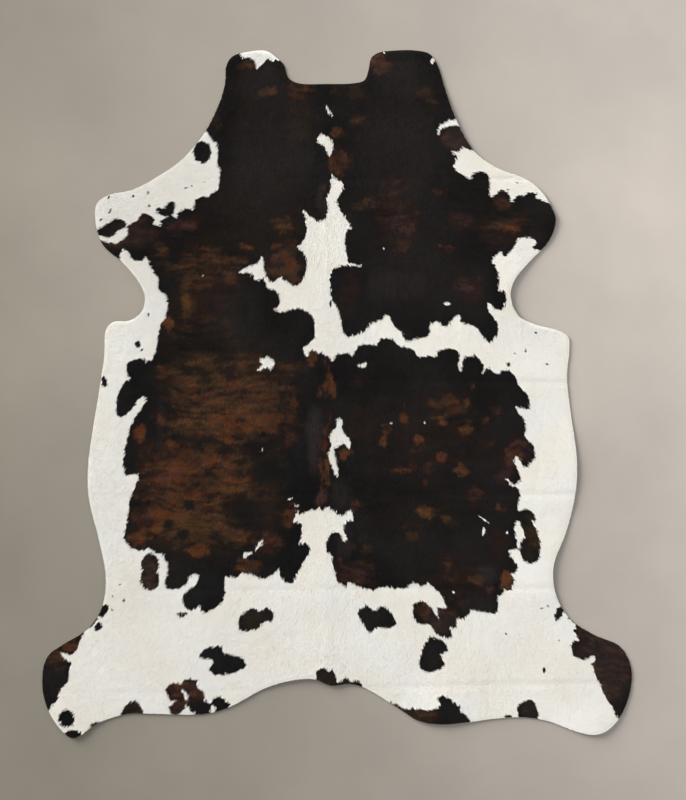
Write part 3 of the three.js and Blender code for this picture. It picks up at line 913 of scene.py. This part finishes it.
# %% [markdown]
# ## The skin
#
# Under the hair lies the tanned skin: suede on the flesh side, a clean cut edge, and on
# the hair side a dense mat of short underhair that the locks grow out of. It starts as a
# merged copy of the solid, cut into smaller faces. Its top is lowered by the depth of the
# loose coat, and its rim is drawn in where hair will reach over it, so that the finished
# rug keeps the solid's outline.

# %% Skin shape
LOOSE_COAT = 2.6 * MM         # from the mat of underhair to the tips of the locks
SKIN_CUTS = 2                 # new points on each edge of the solid's top
RIM_ROUND = 9 * MM            # the mat rounds off over this distance from the rim
RIM_DROP = 0.9 * MM
DRAW_IN = 4.0 * MM            # how far the rim is drawn in where the hair points outwards
TRIM = 0.8 * MM               # and everywhere
DRAW_IN_REACH = 50 * MM       # the drawing-in fades out over this distance
NO_SLOPE = 1e-6               # keeps a place without any slope from dividing by nothing


def sorted_faces(shape, low, high):
    """The faces whose normal climbs by an amount between the two values."""
    return [face for face in shape.faces if low <= face.normal.z <= high]


def skin_shape():
    """The solid's copy, subdivided on top, drawn in at the rim and lowered."""
    shape = solid_shape.copy()
    shape.normal_update()
    upper = sorted_faces(shape, UPRIGHT, 1)
    edges = list({edge for face in upper for edge in face.edges})
    bmesh.ops.subdivide_edges(shape, edges=edges, cuts=SKIN_CUTS, use_grid_fill=True)
    bmesh.ops.triangulate(shape, faces=[face for face in shape.faces if len(face.verts) > 4])
    shape.normal_update()
    top_points = {vert for face in sorted_faces(shape, UPRIGHT, 1) for vert in face.verts}

    x = np.array([vert.co.x for vert in shape.verts])
    y = np.array([vert.co.y for vert in shape.verts])
    inside = np.maximum(read_grid(inside_grid, x, y), 0)
    in_x, in_y = read_grid(inward_x, x, y), read_grid(inward_y, x, y)
    size = np.maximum(np.hypot(in_x, in_y), NO_SLOPE)
    in_x, in_y = in_x / size, in_y / size
    flow_x, flow_y = hair_flow(x, y)
    outward = np.maximum(0, -(flow_x * in_x + flow_y * in_y))
    draw = (TRIM + DRAW_IN * outward) * np.clip(1 - inside / DRAW_IN_REACH, 0, 1)
    lower = LOOSE_COAT + RIM_DROP * (1 - eased(inside, 0, RIM_ROUND))

    for number, vert in enumerate(shape.verts):
        vert.co.x += draw[number] * in_x[number]
        vert.co.y += draw[number] * in_y[number]
        if vert in top_points:
            vert.co.z -= lower[number]
    return shape


skin = skin_shape()
skin_mesh = bpy.data.meshes.new("hide_skin")
skin.normal_update()
for face in skin.faces:
    face.smooth = face.normal.z > UPRIGHT
    face.material_index = 0 if face.smooth else 1
skin.to_mesh(skin_mesh)
skin.free()
hide_skin = placed("hide_skin", skin_mesh)
print("skin triangles:", sum(len(face.vertices) - 2 for face in skin_mesh.polygons))

# %% [markdown]
# ## What each place of the coat carries
#
# The materials need to know, at each point of the coat, how dark, brown and grey the hair
# is there. These are stored as attributes, named numbers on the points of a mesh, which a
# shader can read back. The skin and the locks carry the same ones, so the mat between two
# locks has the locks' own colour.

# %% Attributes
MAT_LOCK = 0.5                # the mat takes the shade of a middling lock
MAT_ALONG = 0.35              # a third of the way from root to tip, so the mat gets that much painted root shade


def set_attribute(mesh, name, values):
    """Stores one number for each point of a mesh."""
    mesh.attributes.new(name, "FLOAT", "POINT").data.foreach_set("value", values.astype(np.float32))


def plan_places(mesh):
    """The x and y of each point of a mesh."""
    places = np.empty(len(mesh.vertices) * 3, np.float32)
    mesh.vertices.foreach_get("co", places)
    places = places.reshape(-1, 3).astype(float)
    return places[:, 0], places[:, 1]


skin_x, skin_y = plan_places(skin_mesh)
skin_values = {
    "dark": with_spots(in_patches(skin_x, skin_y), skin_x, skin_y),
    **dark_values(skin_x, skin_y),
    "lock": np.full(len(skin_x), MAT_LOCK),
    "along": np.full(len(skin_x), MAT_ALONG),
}
for name, values in skin_values.items():
    set_attribute(skin_mesh, name, values)

# %% [markdown]
# ## The locks of hair
#
# Cow hair is under 20 mm long and lies flat, so what the eye sees is small pointed locks
# that overlap. Each lock here is one kite-shaped face, folded a little along its middle:
# its root sits in the mat of underhair, its tip reaches the top of the coat. White hair is
# finer than dark, so its locks lie flatter. A lock takes its colour from a place ahead of
# its root and a little to one side, which gives the patches their toothed edges. Curves or a
# particle system would also give hair, but a mesh keeps each lock as a real shape that
# other programs can read. The places come from an even grid that is shaken up, so that
# the coat has no bald gaps, and they are worked out all at once as arrays.

# %% Lay out the locks
LOCK_SPACING = 2.66 * MM
SHAKE = 0.6                   # how far a root may leave its grid point, in spacings
LOCK_LENGTH = 13.5 * MM
LENGTHS = (0.72, 1.2)         # the shortest and longest locks against that length
SHORTEST = 0.15               # a lock at the rim keeps at least this share of its length
LOCK_WIDTH = 3.3 * MM
WIDTHS = (0.7, 1.25)
WIDEST_AT = 0.42              # share of the length where a lock is widest
ARCH = 0.12                   # and how much further it has climbed there
FOLD = 0.35 * MM              # how much the sides of a lock lie below its middle
ROLL = 0.22                   # radians that a lock may lean to one side
WHITE_FLATNESS = 0.7          # white locks fold, lean and spread this much less
ROOT_INSIDE = 1.2 * MM        # roots keep this far inside the rim
TIP_INSIDE = 0.6 * MM         # and tips end this far inside it
TUFT_TURN = 0.30              # radians by which neighbouring locks turn together
STRAY_TURN = 0.16             # and by which each strays on its own
ROOT_SINK = 0.4 * MM          # roots start this far under the top of the mat
TIP_SPREAD = 0.7 * MM         # tips end up to this far under the top of the coat
TIP_DROOP = 1.1 * MM          # how far tips bend down over the rim
COLOUR_AT = 0.7               # share of the length whose place gives a lock its colour
TEETH = 3.6 * MM              # how far tufts of one colour reach over the other
SIDE_TEETH = 2.4 * MM         # and how far they spread to the side
STRAY_TEETH = 1.4 * MM        # and how far single locks stray from that
BROWN_STRAY = 0.16            # how much browner or blacker a lock may be than its place

chance = np.random.default_rng(7)
across, up = np.meshgrid(np.arange(cad_low.x, cad_high.x, LOCK_SPACING),
                         np.arange(cad_low.y, cad_high.y, LOCK_SPACING))
root_x, root_y = (line.ravel() + chance.uniform(-SHAKE, SHAKE, line.size) * LOCK_SPACING
                  for line in (across, up))
rooted = read_grid(inside_grid, root_x, root_y) > ROOT_INSIDE
root_x, root_y = root_x[rooted], root_y[rooted]
count = len(root_x)

flow_x, flow_y = hair_flow(root_x, root_y)
turn = TUFT_TURN * swing("tufts", root_x, root_y) + STRAY_TURN * chance.standard_normal(count)
lie_x = flow_x * np.cos(turn) - flow_y * np.sin(turn)
lie_y = flow_x * np.sin(turn) + flow_y * np.cos(turn)


def beyond(ahead, aside=0.0):
    """Places this far ahead of the roots along the locks, and this far to their left."""
    return root_x + lie_x * ahead - lie_y * aside, root_y + lie_y * ahead + lie_x * aside


length = LOCK_LENGTH * chance.uniform(*LENGTHS, count)
width = LOCK_WIDTH * chance.uniform(*WIDTHS, count)
root_inside = read_grid(inside_grid, root_x, root_y)
tip_inside = read_grid(inside_grid, *beyond(length))
reach = (root_inside - TIP_INSIDE) / np.maximum(root_inside - tip_inside, MM)
length = np.where(tip_inside < TIP_INSIDE, length * np.clip(reach, SHORTEST, 1), length)
print("locks:", count)

# %% Colour of each lock
ahead = COLOUR_AT * length + TEETH * swing("teeth ahead", root_x, root_y)
ahead = ahead + STRAY_TEETH * chance.standard_normal(count)
aside = SIDE_TEETH * swing("teeth aside", root_x, root_y)
aside = aside + STRAY_TEETH * chance.standard_normal(count)
seen = beyond(ahead, aside)
lock_dark = with_spots(in_patches(*seen), *beyond(COLOUR_AT * length))
lock_values = {"dark": lock_dark, **dark_values(*seen)}
browner = 1 + BROWN_STRAY * chance.standard_normal(count)
lock_values["brown"] = np.clip(lock_values["brown"] * browner, 0, 1)
lock_values["lock"] = chance.random(count)
print("dark share of the coat:", round(lock_dark.mean(), 3))

# %% Corners of each lock
tip_x, tip_y = beyond(length)
root_z = read_grid(top_grid, root_x, root_y) - LOOSE_COAT - ROOT_SINK
root_z = root_z - RIM_DROP * (1 - eased(root_inside, 0, RIM_ROUND))
droop = TIP_DROOP * (1 - eased(read_grid(inside_grid, tip_x, tip_y), 0, RIM_ROUND))
coarse = 1 - WHITE_FLATNESS * (1 - lock_dark)
tip_z = read_grid(top_grid, tip_x, tip_y) - TIP_SPREAD * coarse * chance.random(count) - droop
middle_x = root_x + (tip_x - root_x) * WIDEST_AT
middle_y = root_y + (tip_y - root_y) * WIDEST_AT
middle_z = root_z + (tip_z - root_z) * (WIDEST_AT + ARCH) - FOLD * coarse
roll = ROLL * coarse * (chance.random(count) - 0.5) * width
side_x, side_y = lie_y * width / 2, lie_x * width / 2
right = (middle_x + side_x, middle_y - side_y, middle_z + roll)
left = (middle_x - side_x, middle_y + side_y, middle_z - roll)
root, tip = (root_x, root_y, root_z), (tip_x, tip_y, tip_z)
corners = np.stack([np.stack(corner, 1) for corner in (root, right, tip, left)], 1)

# %% [markdown]
# ## From arrays to meshes
#
# All the locks in one mesh would be too heavy to handle, so the coat is cut into strips
# that run from the neck to the tail, side by side, with the same number of locks in each.
# Each strip gets a flat map laid over the hide, for programs that want an image of its
# colours, and a second map that runs across and along each lock, for the fine hair.

# %% Coat strips
STRIPS = 5
ALONG_AT = (0.0, WIDEST_AT, 1.0, WIDEST_AT)
ACROSS_AT = (0.5, 1.0, 0.5, 0.0)
MAP_PLACES = 977              # places on the second map over which the locks are scattered


def set_map(mesh, name, u, v):
    """Gives a mesh a flat map with one pair of numbers for each corner of its faces."""
    pairs = np.stack((u, v), 1).astype(np.float32)
    mesh.uv_layers.new(name=name).uv.foreach_set("vector", pairs.ravel())


def coat_strip(name, members):
    """One mesh of joined locks, with their colours and both maps."""
    points = corners[members].reshape(-1, 3)
    faces = np.arange(len(points)).reshape(-1, 4)
    mesh = bpy.data.meshes.new(name)
    mesh.from_pydata(points.tolist(), [], faces.tolist())
    for label, values in lock_values.items():
        set_attribute(mesh, label, np.repeat(values[members], 4))
    along = np.tile(ALONG_AT, len(members))
    set_attribute(mesh, "along", along)
    low, size = points.min(0), np.ptp(points, axis=0)
    set_map(mesh, "OFBake", *((points - low) / size).T[:2])
    own = np.repeat(np.floor(lock_values["lock"][members] * MAP_PLACES), 4)
    set_map(mesh, "lock_map", own + np.tile(ACROSS_AT, len(members)), along)
    return placed(name, mesh)


by_side = np.argsort(root_x, kind="stable")
coat = [coat_strip(f"coat_{number + 1}", members)
        for number, members in enumerate(np.array_split(by_side, STRIPS))]
for strip in coat:
    print(strip.name, "triangles:", 2 * len(strip.data.polygons))

# %% [markdown]
# ## Finish of the coat
#
# The coat's shader reads the attributes back. White hair is never one white, so two near
# whites drift into each other over a hand's width, and each lock is a shade apart from
# the next. Dark hair runs from black over brown to rust along one colour ramp, streaks
# finer than a lock lift and sink it, and a second ramp casts the browns towards maroon,
# rust or olive. Grey is mixed into the dark where the hair is worn, and as a painted
# sheen where it lies another way. Each lock is painted darker at its root, as painted
# shade where it lies under its neighbours. Fine hairs inside a lock are drawn along its
# own map, in colour and in a low bump. On white they are hardly seen, because light
# spreads inside white hair, so there all these shades are held back.

# %% Coat material
WARM_WHITE = (0.85, 0.815, 0.745, 1)
COOL_WHITE = (0.85, 0.85, 0.815, 1)
DEEP_BLACK = (0.0084, 0.0080, 0.0078, 1)
SOFT_BLACK = (0.0142, 0.0134, 0.0131, 1)
BROWNS = [                    # place on the ramp and colour, after the black
    (0.25, (0.0241, 0.0152, 0.0118, 1)), (0.5, (0.0506, 0.0267, 0.0164, 1)),
    (0.75, (0.0764, 0.0356, 0.0190, 1)), (1.0, (0.1200, 0.0450, 0.0185, 1)),
]
CASTS = [                     # place on the tint and what the brown is multiplied by there
    (0.0, (1.0, 0.97, 1.38, 1)), (0.3, (1.0, 0.80, 0.68, 1)), (0.5, (1.0, 1.0, 1.0, 1)),
    (0.75, (1.0, 1.08, 0.84, 1)), (1.0, (0.96, 1.13, 0.80, 1)),
]
# grey of worn hair and of painted sheen
GREY_OF_SHEEN_AND_WEAR = (0.0320, 0.0260, 0.0249, 1)
DARK_EDGE = (0.45, 0.55)      # where the stored darkness turns from white hair to dark
DRIFT_SCALE = 5.0             # waves to the metre in the slow drift of a white or a black
BLACK_DRIFT = (0.35, 0.68)    # the noise that runs from the deep black to the soft one
STREAKS = (14.0, 110.0, 1.0)  # waves to the metre along x, y and z
STREAK_RANGE = (0.85, 1.15)
HAIRS = (5.0, 0.7, 1.0)       # fine hairs across a lock, and how often they break along it
HAIR_RANGE = (0.84, 1.08)
LOCK_RANGE = (0.90, 1.06)     # shades from one lock to the next
PAINTED_ROOT_SHADE = (0.86, 1.03)    # painted shade, darker at the root than at the tip
WHITE_EVENNESS = 0.25         # how much of all these shades white hair keeps
WHITE_ROUGH, DARK_ROUGH = 0.62, 0.50
HAIR_BUMP = 0.25


def colour_ramp(tree, value, stops):
    """Colours along a value from 0 to 1. Each stop is a place and a colour."""
    node = add_node(tree, "ValToRGB", {"Fac": value})
    elements = node.color_ramp.elements
    elements[0].position, elements[0].color = stops[0]
    elements[1].position, elements[1].color = stops[-1]
    for position, colour in stops[1:-1]:
        elements.new(position).color = colour
    return node.outputs["Color"]


def white_hair(tree, place):
    """Two near whites that drift into each other over a hand's width."""
    drift = noise(tree, place, DRIFT_SCALE, detail=3.0)
    share = ranged(tree, drift, *NOISE_RANGE, 0, 1, smooth=True)
    return mix_colours(tree, share, WARM_WHITE, COOL_WHITE)


def streaked(tree, place, brown):
    """The brown of each place, lifted and sunk by streaks finer than a lock."""
    streak = noise(tree, stretched(tree, place, STREAKS), scale=1.0, detail=2.0, Distortion=1.2)
    factor = ranged(tree, streak, *NOISE_RANGE, *STREAK_RANGE)
    inputs = {0: brown, 1: factor}
    return add_node(tree, "Math", inputs, operation="MULTIPLY", use_clamp=True).outputs[0]


def dark_hair(tree, place, read):
    """Black over brown to rust along a ramp, with its own cast, and grey in places from wear and
    painted sheen.
    """
    drift = noise(tree, place, DRIFT_SCALE, detail=4.0)
    share = ranged(tree, drift, *BLACK_DRIFT, 0, 1, smooth=True)
    black = mix_colours(tree, share, DEEP_BLACK, SOFT_BLACK)
    level = streaked(tree, place, read["brown"])
    cast = colour_ramp(tree, read["tint"], CASTS)
    brown = multiplied(tree, colour_ramp(tree, level, BROWNS), cast)
    colour = mix_colours(tree, ranged(tree, level, 0, BROWNS[0][0], 0, 1), black, brown)
    return mix_colours(tree, read["grey"], colour, GREY_OF_SHEEN_AND_WEAR)


def coat_material():
    """Hair in white, black, brown and grey, by the attributes of each lock."""
    material, tree, shader = new_material("cow coat")
    read = {name: add_node(tree, "Attribute", attribute_name=name).outputs["Fac"]
            for name in ("dark", "brown", "tint", "grey", "lock", "along")}
    place = add_node(tree, "TexCoord").outputs["Object"]
    is_dark = ranged(tree, read["dark"], *DARK_EDGE, 0, 1)
    colour = mix_colours(tree, is_dark, white_hair(tree, place), dark_hair(tree, place, read))

    own_map = add_node(tree, "UVMap", uv_map="lock_map").outputs["UV"]
    hairs = noise(tree, stretched(tree, own_map, HAIRS), scale=1.0, detail=1.0)
    shade = ranged(tree, hairs, *NOISE_RANGE, *HAIR_RANGE)
    # the second pass paints shade at each lock's root
    for name, shades in (("lock", LOCK_RANGE), ("along", PAINTED_ROOT_SHADE)):
        shade = multiplied(tree, shade, ranged(tree, read[name], 0, 1, *shades))
    evenness = ranged(tree, is_dark, 0, 1, WHITE_EVENNESS, 1.0)
    shade = mix_colours(tree, evenness, (1, 1, 1, 1), shade)
    set_inputs(tree, shader, {
        "Base Color": multiplied(tree, colour, shade),
        "Roughness": ranged(tree, is_dark, 0, 1, WHITE_ROUGH, DARK_ROUGH),
        "Normal": bump(tree, hairs, HAIR_BUMP),
        "Specular IOR Level": 0.03,
    })
    return material


cow_coat = coat_material()
for strip in coat:
    strip.data.materials.append(cow_coat)
skin_mesh.materials.append(cow_coat)
print("coat material nodes:", len(cow_coat.node_tree.nodes))

# %% [markdown]
# ## Finish of the flesh side and the cut edge
#
# The flesh side of a hide is buffed suede in a pale tan grey, a little blotchy, and the
# knife leaves the same colour at the edge. Two scales of noise give the blotches and the
# nap, and the nap also lifts the surface in a small bump.

# %% Suede material
SUEDE = (0.46, 0.40, 0.32, 1)
SUEDE_BLOTCH = (0.36, 0.33, 0.28, 1)
BLOTCHES = (0.35, 0.65)       # the noise that runs from plain suede to a full blotch
NAP_RANGE = (0.88, 1.06)
NAP_BUMP = 0.4


def suede_material():
    """Buffed flesh side: blotches by slow noise, nap by fine noise."""
    material, tree, shader = new_material("suede flesh side")
    place = add_node(tree, "TexCoord").outputs["Object"]
    blotches = noise(tree, place, scale=9.0, detail=5.0)
    share = ranged(tree, blotches, *BLOTCHES, 0, 1, smooth=True)
    nap = noise(tree, place, scale=420.0, detail=2.0)
    fine = ranged(tree, nap, *NOISE_RANGE, *NAP_RANGE)
    set_inputs(tree, shader, {
        "Base Color": multiplied(tree, mix_colours(tree, share, SUEDE, SUEDE_BLOTCH), fine),
        "Roughness": 0.92,
        "Normal": bump(tree, nap, NAP_BUMP),
        "Specular IOR Level": 0.15,
    })
    return material


skin_mesh.materials.append(suede_material())

# %% [markdown]
# ## Attach the pieces
#
# The skin stands for the imported solid, and the strips of coat lie on it. All the pieces
# hang from one body, the imported solid is hidden, and the working copy of its shape is
# freed.

# %% Attach and finish
for piece in (hide_skin, *coat):
    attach(piece, "root")
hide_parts("hide")
solid_shape.free()
